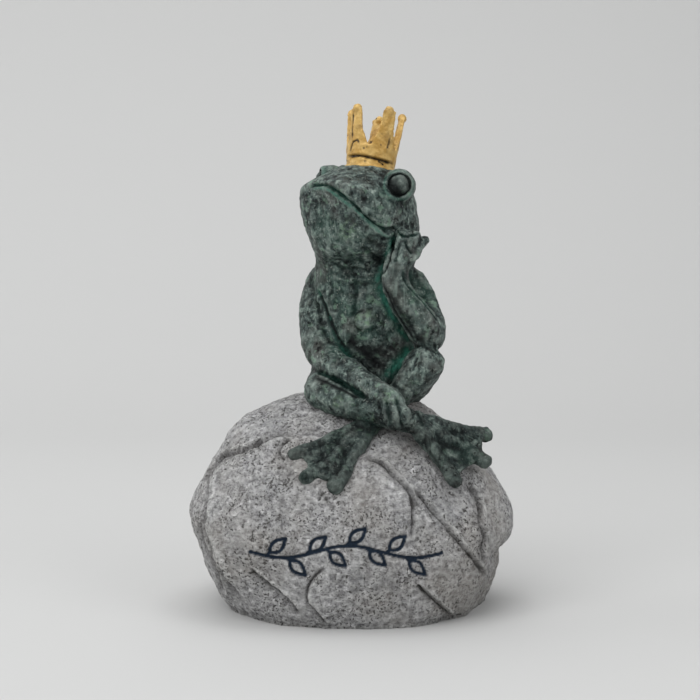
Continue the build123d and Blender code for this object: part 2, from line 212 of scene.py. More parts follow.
def pick_faces(piece, chosen):
    """Selects some faces of a piece, as a list of true and false, and opens it for editing."""
    take(piece)
    bpy.ops.object.mode_set(mode="EDIT")
    bpy.ops.mesh.select_mode(type="FACE")
    bpy.ops.mesh.select_all(action="DESELECT")
    bpy.ops.object.mode_set(mode="OBJECT")
    piece.data.polygons.foreach_set("select", chosen)
    bpy.ops.object.mode_set(mode="EDIT")


# The camera's own directions, ahead and up
LOOK = np.array((0, math.cos(CAMERA_DOWN), -math.sin(CAMERA_DOWN)))
LIFT = np.array((0, math.sin(CAMERA_DOWN), math.cos(CAMERA_DOWN)))


def photo_xy(points):
    """Where points of the object fall in the photo, in pixels from its top left corner."""
    away = points - np.array(CAMERA_AT)
    deep = away @ LOOK
    across = PHOTO_SIZE / 2 + LENS_PIXELS * away[:, 0] / deep
    down = PHOTO_SIZE / 2 - LENS_PIXELS * (away @ LIFT) / deep
    return np.stack((across, down), axis=1)


# The mesh is made finer along the breaks and the sprig, on the front only
FRONT_LIMIT = 0.01
centres = np.empty(len(rock.data.polygons) * 3)
rock.data.polygons.foreach_get("center", centres)
centres = centres.reshape(-1, 3)
faces_xy = photo_xy(centres)
fine = np.min([to_path(faces_xy, path)[0] for path, *rest in breaks], axis=0) < BREAK_FINE
fine = fine | (np.min([to_path(faces_xy, line)[0] for line in sprig], axis=0) < SPRIG_FINE)
pick_faces(rock, fine & (centres[:, 1] < FRONT_LIMIT))
bpy.ops.mesh.subdivide(number_cuts=1)
bpy.ops.object.mode_set(mode="OBJECT")
worked(rock, "SMOOTH", factor=0.4, iterations=2)


def points_of(piece):
    """The vertices of a piece as an array of points."""
    flat = np.empty(len(piece.data.vertices) * 3)
    piece.data.vertices.foreach_get("co", flat)
    return flat.reshape(-1, 3)


def normals_of(piece):
    """The outward directions at the vertices of a piece."""
    flat = np.empty(len(piece.data.vertices) * 3)
    piece.data.vertices.foreach_get("normal", flat)
    return flat.reshape(-1, 3)


def move_to(piece, points):
    """Puts the vertices of a piece at new points."""
    piece.data.vertices.foreach_set("co", points.ravel())
    piece.data.update()


def mask_of(piece, name):
    """A painted mask as an array, or zeros where it was never painted."""
    values = np.zeros(len(piece.data.vertices), dtype=np.float32)
    mask = piece.data.attributes.get(name)
    if mask is not None:
        mask.data.foreach_get("value", values)
    return values


def paint_mask(piece, name, values):
    """Keeps a value from 0 to 1 on each vertex for the paint to read."""
    mask = piece.data.attributes.get(name)
    if mask is None:
        mask = piece.data.attributes.new(name, "FLOAT", "POINT")
    mask.data.foreach_set("value", np.clip(values, 0, 1).astype(np.float32))


def add_mask(piece, name, values):
    """Paints a mask over what is already on it, keeping the stronger of the two."""
    paint_mask(piece, name, np.maximum(mask_of(piece, name), values))


def bell(far, width, power=2):
    """1 in the middle, fading to 0 past a width."""
    return np.exp(-(far / width) ** power)


def eased(share):
    """A share from 0 to 1 that starts and stops gently."""
    return share * share * (3 - 2 * share)


# The section of a break: place and width in pixels across its line, above 0 on the side that stands out
EDGE_WIDE = 2.2
LIP_AT, LIP_WIDE, LIP_HIGH = 2.0, 1.6, 0.0005
CRACK_AT, CRACK_WIDE, CRACK_DEEP = -1.6, 1.3, 0.0011
FOOT_AT, FOOT_OUTSIDE, FOOT_INSIDE = -1.0, 4.5, 1.6
RIM_AT, RIM_WIDE = 2.8, 1.7


def ledge(piece, path, height, reach, dark):
    """Breaks the stone off along a path in the photo: a shelf that fades out on one side, a crack beside it.
    Marks the foot of the break for the dark wash and painted shadow, and its rim for the pale brush and
    painted highlight."""
    points = points_of(piece)
    outward = normals_of(piece)
    far, side, along = to_path(photo_xy(points), path)
    signed = far * side
    edge = eased(np.clip(signed / EDGE_WIDE + 0.5, 0, 1))
    shelf = edge * np.clip(1 - far / reach, 0, 1) ** 1.3 * height
    up = signed * np.sign(height)
    lip = bell(up - LIP_AT, LIP_WIDE) * LIP_HIGH
    crack = bell(up - CRACK_AT, CRACK_WIDE) * CRACK_DEEP
    ends = np.clip(np.minimum(along, 1 - along) * 7 + 0.1, 0, 1)
    share = ends * np.clip(-(outward @ LOOK) * 4, 0, 1)
    move_to(piece, points + outward * ((shelf + lip - crack) * share)[:, None])
    # Dark wash and painted shadow at the foot, pale brush and painted highlight on the rim
    foot = bell(up - FOOT_AT, np.where(up < FOOT_AT, FOOT_OUTSIDE, FOOT_INSIDE))
    add_mask(piece, "wash_and_shade", foot * share * dark)
    add_mask(piece, "rim", bell(up - RIM_AT, RIM_WIDE) * share)


for path, height, reach, dark in breaks:
    ledge(rock, path, height, reach, dark)
roughen(rock, "grain", "CLOUDS", GRAIN_SIZE, GRAIN_DEPTH, noise_depth=2)

rock_points = points_of(rock)
outward = normals_of(rock)
inked = np.min([to_path(photo_xy(rock_points), line)[0] for line in sprig], axis=0)
inked[rock_points[:, 1] > 0] = np.inf
rock_points = rock_points - outward * (SPRIG_DEPTH * bell(inked, SPRIG_WIDE))[:, None]
paint_mask(rock, "ink", (INK_EDGE - inked) / INK_FADE)

# Dents and one bulge in the outline: middle, reach on each axis, depth
DENTS = (
    ((0.0745, -0.010, 0.0262), (0.0085, 0.0200, 0.0050), 0.0052),
    ((0.0785, -0.010, 0.0434), (0.0100, 0.0200, 0.0080), -0.0018),
    ((-0.0732, 0.000, 0.0711), (0.0140, 0.0250, 0.0140), 0.0022),
    ((-0.0787, -0.005, 0.0343), (0.0100, 0.0220, 0.0090), 0.0022),
    ((-0.0438, 0.010, 0.1020), (0.0120, 0.0250, 0.0120), 0.0020),
)
for middle, reach, depth in DENTS:
    away = np.linalg.norm((rock_points - np.array(middle)) / np.array(reach), axis=1)
    rock_points = rock_points - outward * (depth * bell(away, 1))[:, None]


def sight(x, y):
    """The direction from the camera through a pixel of the photo."""
    way = LOOK * LENS_PIXELS + LIFT * (PHOTO_SIZE / 2 - y)
    way = way + np.array((x - PHOTO_SIZE / 2, 0, 0))
    return Vector(way).normalized()


def points_under(piece, pixels):
    """The points of a piece that lie under a path of pixels in the photo."""
    surface = BVHTree.FromObject(piece, bpy.context.evaluated_depsgraph_get())
    found = []
    for x, y in pixels:
        hit = surface.ray_cast(CAMERA_AT, sight(x, y))[0]
        if hit is not None:
            found.append(np.array(hit))
    return found


# Pocks broken out of the stone just below the toes: pixel of the photo and radius
POCKS = ((322, 494, 0.0013), (326, 499, 0.0010), (319, 499, 0.0008))
POCK_DEPTH = 0.0012
for x, y, radius in POCKS:
    middle = points_under(rock, ((x, y),))[0]
    hole = bell(np.linalg.norm(rock_points - middle, axis=1), radius)
    rock_points = rock_points - outward * (POCK_DEPTH * hole)[:, None]
    # Each pock is darkened with wash and painted shade
    add_mask(rock, "wash_and_shade", hole)

# The casting is ground flat underneath
GROUND_FLAT = 0.0018
rock_points[points_of(rock)[:, 2] < GROUND_FLAT, 2] = 0
rock_points[:, 2] = np.maximum(rock_points[:, 2], 0)
move_to(rock, rock_points)


def hollow_of(piece, passes, size):
    """How far each vertex lies below (above 0) or proud of (below 0) the smoothed form, over a size."""
    before = points_of(piece)
    outward = normals_of(piece)
    twin = piece.copy()
    twin.data = piece.data.copy()
    scene.collection.objects.link(twin)
    worked(twin, "SMOOTH", factor=0.5, iterations=passes)
    after = points_of(twin)
    bpy.data.objects.remove(twin)
    return np.einsum("ij,ij->i", after - before, outward) / size


def linear(code):
    """An sRGB hex colour as the linear numbers that the shaders take."""
    parts = [int(code[i:i + 2], 16) / 255 for i in (1, 3, 5)]
    parts = [p / 12.92 if p <= 0.04045 else ((p + 0.055) / 1.055) ** 2.4 for p in parts]
    return (*parts, 1.0)


def node(tree, kind, inputs=(), stops=(), **settings):
    """Adds one shader node with its settings, its input values and its links."""
    made = tree.nodes.new("ShaderNode" + kind)
    for key, value in settings.items():
        setattr(made, key, value)
    for key, value in dict(inputs).items():
        if isinstance(value, bpy.types.NodeSocket):
            tree.links.new(value, made.inputs[key])
        else:
            made.inputs[key].default_value = value
    for i, (place, code) in enumerate(stops):
        stop = made.color_ramp.elements[i] if i < 2 else made.color_ramp.elements.new(place)
        stop.position = place
        stop.color = linear(code)
    return made


def new_paint(name, *masks):
    """An empty material: its tree, its shader, the object coordinates and the painted masks that it reads."""
    paint = bpy.data.materials.new(name)
    paint.use_nodes = True
    tree = paint.node_tree
    tree.nodes.clear()
    shader = node(tree, "BsdfPrincipled")
    node(tree, "OutputMaterial", {"Surface": shader.outputs[0]})
    place = node(tree, "TexCoord").outputs["Object"]
    found = [node(tree, "Attribute", attribute_name=mask).outputs["Fac"] for mask in masks]
    return paint, tree, shader, place, found


def speckle(tree, place, size, low, high, depth=3, rough=0.55):
    """Cloudy marks of the given size in metres, spread from 0 to 1 between two levels."""
    cloud = node(tree, "TexNoise", {
        "Vector": place, "Scale": 0.5 / size, "Detail": depth, "Roughness": rough})
    return node(tree, "MapRange", {0: cloud.outputs[0], 1: low, 2: high}).outputs[0]


def coat(tree, under, paint, strength, *masks):
    """Lays one coat of paint over a colour, as strong as all its masks together allow."""
    share = strength
    for mask in masks:
        share = node(tree, "Math", {0: mask, 1: share}, operation="MULTIPLY", use_clamp=True).outputs[0]
    colours = {0: share, 6: under, 7: linear(paint)}
    return node(tree, "Mix", colours, data_type="RGBA", clamp_factor=True).outputs[2]


# Stone paint: sponged on matt, so it has no shine. It looks gritty, paler on the ridges and rims with a dry
# brush and painted highlight, with warm and cool patches, dark pores, and a dark wash and painted shade in
# the hollows.
ROCK_HOLLOW = 0.0007
rock_form = hollow_of(rock, 10, ROCK_HOLLOW)
paint_mask(rock, "hollow", rock_form)
paint_mask(rock, "proud", -rock_form)
stone, tree, shader, place, masks = new_paint("stone_paint", "hollow", "proud", "wash_and_shade", "rim", "ink")
hollow, proud, wash_and_shade, rim, ink = masks
grit = speckle(tree, place, 0.0014, 0.36, 0.64, 5, 0.7)
warm = speckle(tree, place, 0.020, 0.48, 0.66)
cool = speckle(tree, place, 0.013, 0.52, 0.70)
flat_place = node(tree, "Mapping", {"Vector": place, "Scale": (0.55, 0.55, 1.0)}).outputs[0]
ripple = speckle(tree, flat_place, 0.0010, 0.35, 0.65, 2)
# Pores of two sizes, each kept to patches: size, edge, bottom and size of the patches
pit = 0.0
for size, edge, bottom, patch in ((0.0006, 0.43, 0.37, 0.008), (0.0013, 0.38, 0.33, 0.014)):
    pore = speckle(tree, place, size, edge, bottom, 2, 0.6)
    patches = speckle(tree, place, patch, 0.40, 0.56)
    pore = node(tree, "Math", {0: pore, 1: patches}, operation="MULTIPLY", use_clamp=True).outputs[0]
    pit = node(tree, "Math", {0: pore, 1: pit}, operation="MAXIMUM", use_clamp=True).outputs[0]
colour = coat(tree, linear(ROCK_GREY), ROCK_PALE, 1.0, grit)
for paint, strength, shares in (
    (ROCK_WARM, 0.55, (warm,)),
    (ROCK_COOL, 0.40, (cool,)),
    (ROCK_RIPPLE, 0.38, (ripple,)),
    # Paler ridges and rims: dry brush and painted highlight; darker pits, hollows and ledge feet: dark wash
    # and painted shade
    (ROCK_BRUSHED_AND_HIGHLIGHT, 0.60, (proud,)),
    (ROCK_RIM, 0.60, (rim, grit)),
    (ROCK_WASH_AND_SHADE, 0.92, (pit,)),
    (ROCK_WASH_AND_SHADE, 0.80, (hollow,)),
    (ROCK_WASH_AND_SHADE, 0.75, (wash_and_shade,)),
    (INK, 1.0, (ink,)),
):
    colour = coat(tree, colour, paint, strength, *shares)
height = 0.0
for pattern, share, kind in ((grit, 0.4, "ADD"), (ripple, 0.35, "ADD"), (pit, 0.8, "SUBTRACT")):
    part = node(tree, "Math", {0: pattern, 1: share}, operation="MULTIPLY", use_clamp=True).outputs[0]
    height = node(tree, "Math", {0: height, 1: part}, operation=kind, use_clamp=True).outputs[0]
bump = node(tree, "Bump", {"Height": height, "Strength": 1.0, "Distance": ROCK_BUMP})
tree.links.new(colour, shader.inputs["Base Color"])
tree.links.new(bump.outputs[0], shader.inputs["Normal"])
shader.inputs["Roughness"].default_value = 0.88
shader.inputs["Specular IOR Level"].default_value = 0.3
rock.data.materials.append(stone)
take(rock)
bpy.ops.object.shade_smooth()
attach(rock, "root")
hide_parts("rock_base")

# The frog's castings: head, torso, arms, legs and feet, cast in resin, pinned, glued and filled at the
# joints. One coat of dark bronze paint runs over all of them, with green left in the creases.
FROG_NODES = ("torso", "head", "left_arm", "right_arm", "left_leg", "right_leg", "left_foot", "right_foot")
LEFT_FOOT = FROG_NODES.index("left_foot")
SKIN_VOXEL = 0.0007
SKIN_WALL = 0.0012
HIDE_SIZE, HIDE_DEPTH = 0.006, 0.0013
WART_SIZE, WART_DEPTH = 0.0022, 0.0005
BRONZE_BUMP = 0.0024
BRONZE_GREEN = "#2f4f44"
BRONZE_BROWN = "#524d4b"
BRONZE_RUBBED_AND_HIGHLIGHT = "#919e97"
BRONZE_PALE = "#a3afa6"
BRONZE_STROKE = "#8fa198"
BRONZE_SCRAPE = "#0b0f10"
BRONZE_BLACK = "#080b0c"
FLECK_GREEN = "#7f9f88"
FLECK_PALE = "#b0bbb2"
MOSS_GREEN = "#789478"
FOLD_SHADE = "#0a1614"
VERDIGRIS = "#33705f"
SHADE_BLACK = "#06090a"
LOW_DARK = "#0d1313"
EYE_DARK = "#0a0d0e"

skin = casting_copy("frog_skin", *FROG_NODES)

# The outermost finger of the propping hand is full along its whole length, from knuckle to tip
FINGER_PIXELS = ((412, 257), (423, 243))
FINGER_DEEP, FINGER_RADIUS, FINGER_TAPER = 0.0022, 0.0029, 0.0007
knuckle, tip = points_under(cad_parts["left_arm"], FINGER_PIXELS)
for step in np.linspace(0, 1.25, 8):
    at = Vector(knuckle + (tip - knuckle) * step + LOOK * FINGER_DEEP)
    radius = FINGER_RADIUS - FINGER_TAPER * step
    bpy.ops.mesh.primitive_uv_sphere_add(segments=16, ring_count=8, radius=radius, location=at)
    bead = bpy.context.object
    bead.data.transform(bead.matrix_world)
    bead.matrix_world = Matrix.Identity(4)
    skin.select_set(True)
    bpy.context.view_layer.objects.active = skin
    bpy.ops.object.join()

# The castings become one skin, without the shells of the bores inside
worked(skin, "REMESH", mode="VOXEL", voxel_size=SKIN_VOXEL)
bpy.ops.object.mode_set(mode="EDIT")
bpy.ops.mesh.select_all(action="SELECT")
bpy.ops.mesh.separate(type="LOOSE")
bpy.ops.object.mode_set(mode="OBJECT")
shells = sorted(bpy.context.selected_objects, key=lambda o: len(o.data.vertices))
skin = shells.pop()
for inner in shells:
    bpy.data.objects.remove(inner)
worked(skin, "SMOOTH", factor=0.5, iterations=8)

# Which casting each face of the skin belongs to, and which vertices each casting touches
castings = []
for name in FROG_NODES:
    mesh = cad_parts[name].data
    castings.append(BVHTree.FromPolygons([v.co for v in mesh.vertices], [p.vertices for p in mesh.polygons]))
owner = []
for face in skin.data.polygons:
    reach = [casting.find_nearest(face.center)[3] for casting in castings]
    owner.append(reach.index(min(reach)))
flesh = np.zeros((len(FROG_NODES), len(skin.data.vertices)))
for face, casting in zip(skin.data.polygons, owner):
    flesh[casting, face.vertices] = 1


def soften_where(piece, share, rounds):
    """Smooths a piece by a share from 0 to 1 on each vertex."""
    group = piece.vertex_groups.new(name="soft")
    for i in np.nonzero(share > 0.02)[0]:
        group.add([int(i)], float(share[i]), "REPLACE")
    worked(piece, "SMOOTH", factor=0.5, iterations=rounds, vertex_group="soft")
    piece.vertex_groups.remove(piece.vertex_groups["soft"])


def soften(piece, middle, reach, rounds):
    """Smooths a piece round a point, fading out at a reach."""
    far = np.linalg.norm(points_of(piece) - np.array(middle), axis=1)
    soften_where(piece, np.clip(1.5 - 1.5 * far / reach, 0, 1), rounds)


# The throat runs into the chest without a step, and the fingers of both hands lie close together
NECK_AT = np.array((0.0070, 0.0022, 0.1710))
NECK_UP = np.array((0.1057, 0.2905, 0.9511))
NECK_REACH, NECK_FILL, NECK_ROUNDS = 0.007, 0.0016, 600
PROPPING_FINGERS = (0.0260, -0.0240, 0.1830)
RESTING_FINGERS = (0.0210, -0.0420, 0.1030)
FINGERS_REACH = 0.012
level = (points_of(skin) - NECK_AT) @ NECK_UP
trunk = np.maximum(flesh[0], flesh[1]) * (1 - flesh[2:].max(axis=0))
neck = bell(level, NECK_REACH) * trunk
move_to(skin, points_of(skin) + normals_of(skin) * (NECK_FILL * neck)[:, None])
soften_where(skin, np.clip(2.0 - np.abs(level) / NECK_REACH, 0, 1) * trunk, NECK_ROUNDS)
soften(skin, PROPPING_FINGERS, FINGERS_REACH, 4)
soften(skin, RESTING_FINGERS, FINGERS_REACH, 8)


def nudge(piece, start, end, reach, share):
    """Slides the flesh under one pixel of the photo to another over the stone, fading out at a reach."""
    shift = np.diff(points_under(rock, (start, end)), axis=0)[0]
    middle = points_under(piece, (start,))[0]
    points = points_of(piece)
    near = np.clip(1 - np.linalg.norm(points - middle, axis=1) / reach, 0, 1)
    move_to(piece, points + shift * (eased(near) * share)[:, None])


# Two toes of the left foot, from where the casting has them to where they lie in the photo
TOE_SLIDES = (((312, 480), (305, 477)), ((337, 488), (334, 484)))
TOE_REACH = 0.014
for start, end in TOE_SLIDES:
    nudge(skin, start, end, TOE_REACH, flesh[LEFT_FOOT])


def crease(piece, path, depth, width, paint=0.0, spread=1.0, mask="green"):
    """Presses a line into a piece (or raises it, for a depth below 0) and paints a mask along it."""
    points = points_of(piece)
    far, side, along = to_path(points, path)
    ends = np.clip(np.minimum(along, 1 - along) * 6 + 0.25, 0, 1)
    press = bell(far, width) * ends
    move_to(piece, points - normals_of(piece) * (press * depth)[:, None])
    if paint:
        add_mask(piece, mask, bell(far, width * spread) * ends * paint)


# The mouth: a deep line, black with painted shade, with a green roll under it. The cheek that the photo
# doesn't show has the same lips, mirrored across the head.
HEAD_AT = np.array((0.008, -0.002, 0.2115))
HEAD_FORWARD = np.array((-0.624, -0.743, 0.242))
HEAD_LEFT = np.array((0.757, -0.652, -0.051))
HEAD_UP = np.array((0.196, 0.151, 0.969))
UPPER_LIP = ((311, 186.5), (315, 185), (321, 184.5), (328, 186.5), (336, 191.5), (343.5, 197), (350.5, 202.5),
             (356, 208), (361, 213.5), (367, 219), (373, 223.5), (381, 228), (388, 229.5), (394, 228.5))
LOWER_LIP = ((312, 189), (321, 188), (329, 190), (336.5, 195.5), (343.5, 201), (350.5, 206.5),
             (357.5, 212.5), (364, 218.5), (370.5, 224.5), (377.5, 230.5), (385, 235.5), (392, 237))
LIPS = ((UPPER_LIP, 0.0019, 0.0009, 0.25, 1.4), (LOWER_LIP, -0.0009, 0.0008, 0.8, 0.75))
HIDDEN_BY = 0.002
for pixels, depth, width, paint, spread in LIPS:
    shown = points_under(skin, rounded(pixels, 1))
    surface = BVHTree.FromObject(skin, bpy.context.evaluated_depsgraph_get())
    crease(skin, shown, depth, width, paint, spread)
    if depth > 0:
        crease(skin, shown, 0, width, 0.9, 0.9, "painted_shade")
    across = [(p - HEAD_AT) @ HEAD_LEFT for p in shown]
    other = [p - 2 * a * HEAD_LEFT for p, a in zip(shown, across) if a > 0.001]
    other = [surface.find_nearest(Vector(p))[0] for p in other]
    seen = [surface.ray_cast(CAMERA_AT, p - CAMERA_AT)[0] for p in other]
    other = [np.array(p) for p, first in zip(other, seen) if (first - p).length > HIDDEN_BY]
    crease(skin, other, depth * 0.8, width, paint * 0.4, spread)

# Eyes: smooth dark balls, each inside a thin raised lid, with painted shade that makes them blackest low down
# at the front
EYE_FORWARD, EYE_OUT, EYE_DOWN = 0.001, 0.0218, 0.001
EYE_REACH, EYE_FRONT = 0.014, 0.002
BALL_RADIUS, BALL_EDGE, BALL_SHADE = 0.0056, 0.0006, 0.004
LID_RADIUS, LID_WIDE, LID_HIGH = 0.0067, 0.0011, 0.0013
SLIT_RADIUS, SLIT_WIDE, SLIT_DEEP = 0.0052, 0.0006, 0.0012
DULL_RADIUS, DULL_WIDE = 0.0062, 0.0016
GREEN_RADIUS, GREEN_WIDE, GREEN_SHARE = 0.0070, 0.0006, 0.35
lids = np.zeros(len(skin.data.vertices))
for turn in (1, -1):
    centre = HEAD_AT + EYE_FORWARD * HEAD_FORWARD + turn * EYE_OUT * HEAD_LEFT - EYE_DOWN * HEAD_UP
    axis = 0.77 * HEAD_FORWARD + turn * 0.64 * HEAD_LEFT - 0.10 * HEAD_UP
    axis = axis / np.linalg.norm(axis)
    points = points_of(skin)
    away = points - centre
    ahead = away @ axis
    aside = away - ahead[:, None] * axis
    ring = np.linalg.norm(aside, axis=1)
    on = np.clip(ahead / EYE_FRONT, 0, 1) * (np.linalg.norm(away, axis=1) < EYE_REACH)
    lid = LID_HIGH * bell(ring - LID_RADIUS, LID_WIDE)
    slit = SLIT_DEEP * bell(ring - SLIT_RADIUS, SLIT_WIDE)
    move_to(skin, points + axis * ((lid - slit) * on)[:, None])
    lids = np.maximum(lids, on * bell(ring - DULL_RADIUS, DULL_WIDE))
    drop = aside @ (0.6 * HEAD_FORWARD - 0.8 * HEAD_UP)
    shade = np.clip(0.55 + drop / BALL_SHADE, 0.30, 1)
    ball = np.clip((BALL_RADIUS - ring) / BALL_EDGE, 0, 1) * shade
    add_mask(skin, "eye", on * ball)
    add_mask(skin, "green", on * bell(ring - GREEN_RADIUS, GREEN_WIDE) * GREEN_SHARE)

# Creases and ridges of the hide: line in the photo, depth, width and how much green is left along it
CREASES = (
    (((318, 290), (324, 304), (329, 318), (336, 337), (343, 349), (352, 357)), 0.0010, 0.0012, 0.6),
    (((378, 284), (381, 291), (387, 306), (395, 321), (402, 332), (411, 343)), 0.0005, 0.0020, 0.9),
    (((414, 345), (407, 352), (397, 363), (385, 378)), 0.0004, 0.0026, 1.0),
    (((396.5, 229), (393, 245), (390, 255), (385, 269), (381, 281)), 0.0013, 0.0009, 0.0),
    (((393, 236), (388.5, 251), (380.5, 271), (377, 283)), -0.0006, 0.0014, 0.8),
    (((397.5, 229.5), (402, 235.5), (411, 236.5), (420, 231)), 0.0012, 0.0008, 0.2),
    (((404.5, 240), (408, 247), (412, 254.5)), 0.0012, 0.0008, 0.1),
    (((399, 243), (398, 252), (395, 262)), 0.0008, 0.0008, 0.1),
    (((403, 271), (406.5, 284), (414, 292), (422, 300), (431, 312), (438, 321)), 0.0008, 0.0010, 0.2),
    (((354, 278), (357, 288), (356, 300), (352, 317)), 0.0007, 0.0014, 0.2),
    (((361, 247), (368, 252), (376, 258), (383, 262)), 0.0010, 0.0013, 0.1),
    (((333, 264), (345, 268), (358, 267), (370, 272)), 0.0005, 0.0011, 0.1),
    (((386, 401), (388, 412), (390, 426)), 0.0010, 0.0009, 0.1),
    (((396, 398), (399, 410), (402, 426)), 0.0010, 0.0009, 0.1),
    (((412, 402), (418, 414), (424, 426)), 0.0008, 0.0010, 0.1),
    (((318, 372), (335, 379), (350, 387), (366, 398)), 0.0010, 0.0011, 0.2),
    (((363, 310), (357, 313), (354, 320), (356, 327), (362, 331)), 0.0007, 0.0009, 0.0),
)
for pixels, depth, width, paint in CREASES:
    line = points_under(skin, rounded(pixels, 1))
    crease(skin, line, depth, width, paint)
    # Creases with little green left in them get black painted shade along them
    if paint < 0.5 and depth > 0:
        crease(skin, line, 0, width, 0.9, 0.8, "painted_shade")

# Black painted shade under the arms, the chin, the belly and the legs: line in the photo, width and share
SHADE_STROKES = (
    (((383, 284), (387, 293), (393, 307), (401, 321), (408, 331), (415, 341)), 0.0014, 1.0),
    (((347, 339), (358, 346), (371, 357), (382, 370)), 0.0042, 1.0),
    (((392, 236), (394, 247), (391, 258), (386, 271)), 0.0010, 0.9),
    (((352, 282), (356, 292), (355, 304)), 0.0014, 0.7),
    (((371, 252), (378, 258), (381, 266)), 0.0030, 0.8),
    (((321, 294), (326, 308), (332, 324), (339, 339), (346, 349)), 0.0014, 1.0),
    (((304, 370), (316, 378), (330, 384), (345, 391), (360, 399)), 0.0013, 1.0),
    (((310, 408), (322, 416), (338, 422), (356, 426), (374, 431)), 0.0016, 0.8),
    (((387, 379), (396, 386), (404, 394)), 0.0012, 0.8),
    (((330, 428), (338, 440), (344, 452)), 0.0009, 0.6),
    (((318, 436), (322, 450), (324, 464)), 0.0009, 0.6),
    (((430, 438), (444, 446), (462, 450)), 0.0009, 0.6),
    (((424, 444), (434, 458), (444, 472)), 0.0009, 0.6),
    (((366, 236), (374, 243), (383, 247)), 0.0017, 0.8),
    (((357, 281), (363, 285), (370, 283)), 0.0012, 0.7),
    (((337, 262), (345, 270), (353, 274)), 0.0015, 0.6),
    (((362, 346), (374, 350), (388, 352), (398, 350)), 0.0036, 0.9),
    (((366, 356), (377, 364), (386, 368)), 0.0030, 0.9),
    (((388, 291), (396, 305), (405, 319), (415, 333), (426, 344)), 0.0024, 0.8),
    (((397, 262), (395, 274), (391, 284)), 0.0016, 0.6),
    (((412, 263), (406, 272), (403, 282)), 0.0014, 0.6),
)
STROKE_DEPTH = 0.0002
for pixels, width, share in SHADE_STROKES:
    crease(skin, points_under(skin, rounded(pixels, 1)), STROKE_DEPTH, width, share, 1.0, "painted_shade")

# The navel swells out and is mossy, as are spots on the jaw, the wrist and the thigh: pixel and radius
NAVEL_PIXEL, NAVEL_RADIUS, NAVEL_HIGH = (365, 320), 0.0046, 0.0016
MOSS_SPOTS = ((348, 231, 0.0050), (390, 396, 0.0036), (372, 417, 0.0022), (338, 402, 0.0030))
points = points_of(skin)
navel = points_under(skin, (NAVEL_PIXEL,))[0]
mossy = bell(np.linalg.norm(points - navel, axis=1), NAVEL_RADIUS, 4)
move_to(skin, points + normals_of(skin) * (NAVEL_HIGH * mossy)[:, None])
for x, y, radius in MOSS_SPOTS:
    far = np.linalg.norm(points - points_under(skin, ((x, y),))[0], axis=1)
    mossy = np.maximum(mossy, 0.8 * bell(far, radius, 4))
paint_mask(skin, "moss", mossy)
roughen(skin, "hide", "CLOUDS", HIDE_SIZE, HIDE_DEPTH, noise_depth=2)
roughen(skin, "warts", "CLOUDS", WART_SIZE, WART_DEPTH, noise_depth=1)

# Bronze paint: near-black green-grey, satin, brushed on, and paler on the high spots with rubbing and painted
# highlight.
# It looks mottled and scraped, with black painted shade in the folds and under the limbs, and green left in
# the creases.
HIDE_HOLLOW, BODY_HOLLOW = 0.00026, 0.0011
hide_form = hollow_of(skin, 14, HIDE_HOLLOW)
paint_mask(skin, "hollow", hide_form)
paint_mask(skin, "proud", -hide_form * (1 - 0.7 * lids))
body_form = hollow_of(skin, 120, BODY_HOLLOW)
paint_mask(skin, "fold", body_form * (1 - 0.8 * neck))
paint_mask(skin, "crest", -body_form)
bronze, tree, shader, place, masks = new_paint(
    "bronze_paint", "hollow", "proud", "fold", "crest", "green", "moss", "painted_shade", "eye")
hollow, proud, fold, crest, green, moss, painted_shade, eye = masks
MOTTLE_SIZE = 0.0042
cloud = node(tree, "TexNoise", {
    "Vector": place, "Scale": 1 / MOTTLE_SIZE, "Detail": 7.0, "Roughness": 0.66, "Distortion": 0.2})
cloud = cloud.outputs[0]
mottle = node(tree, "ValToRGB", {"Fac": cloud}, stops=(
    (0.36, "#0c1011"), (0.68, "#a9b6ad"), (0.44, "#1f2727"), (0.52, "#434f4d"), (0.60, "#6f7e77")))
slant = node(tree, "Mapping", {"Vector": place, "Rotation": (0.5, 0.8, 0.0), "Scale": (1.0, 1.0, 0.22)})
slant = slant.outputs[0]
strokes = (speckle(tree, slant, 0.0011, 0.54, 0.66), speckle(tree, place, 0.010, 0.44, 0.58))
scrapes = (speckle(tree, slant, 0.0013, 0.44, 0.34), speckle(tree, place, 0.012, 0.56, 0.42))
crack = speckle(tree, place, 0.0012, 0.42, 0.35, 3, 0.6)
crack = node(tree, "Math", {0: crack, 1: speckle(tree, place, 0.008, 0.45, 0.58)},
             operation="MULTIPLY", use_clamp=True).outputs[0]
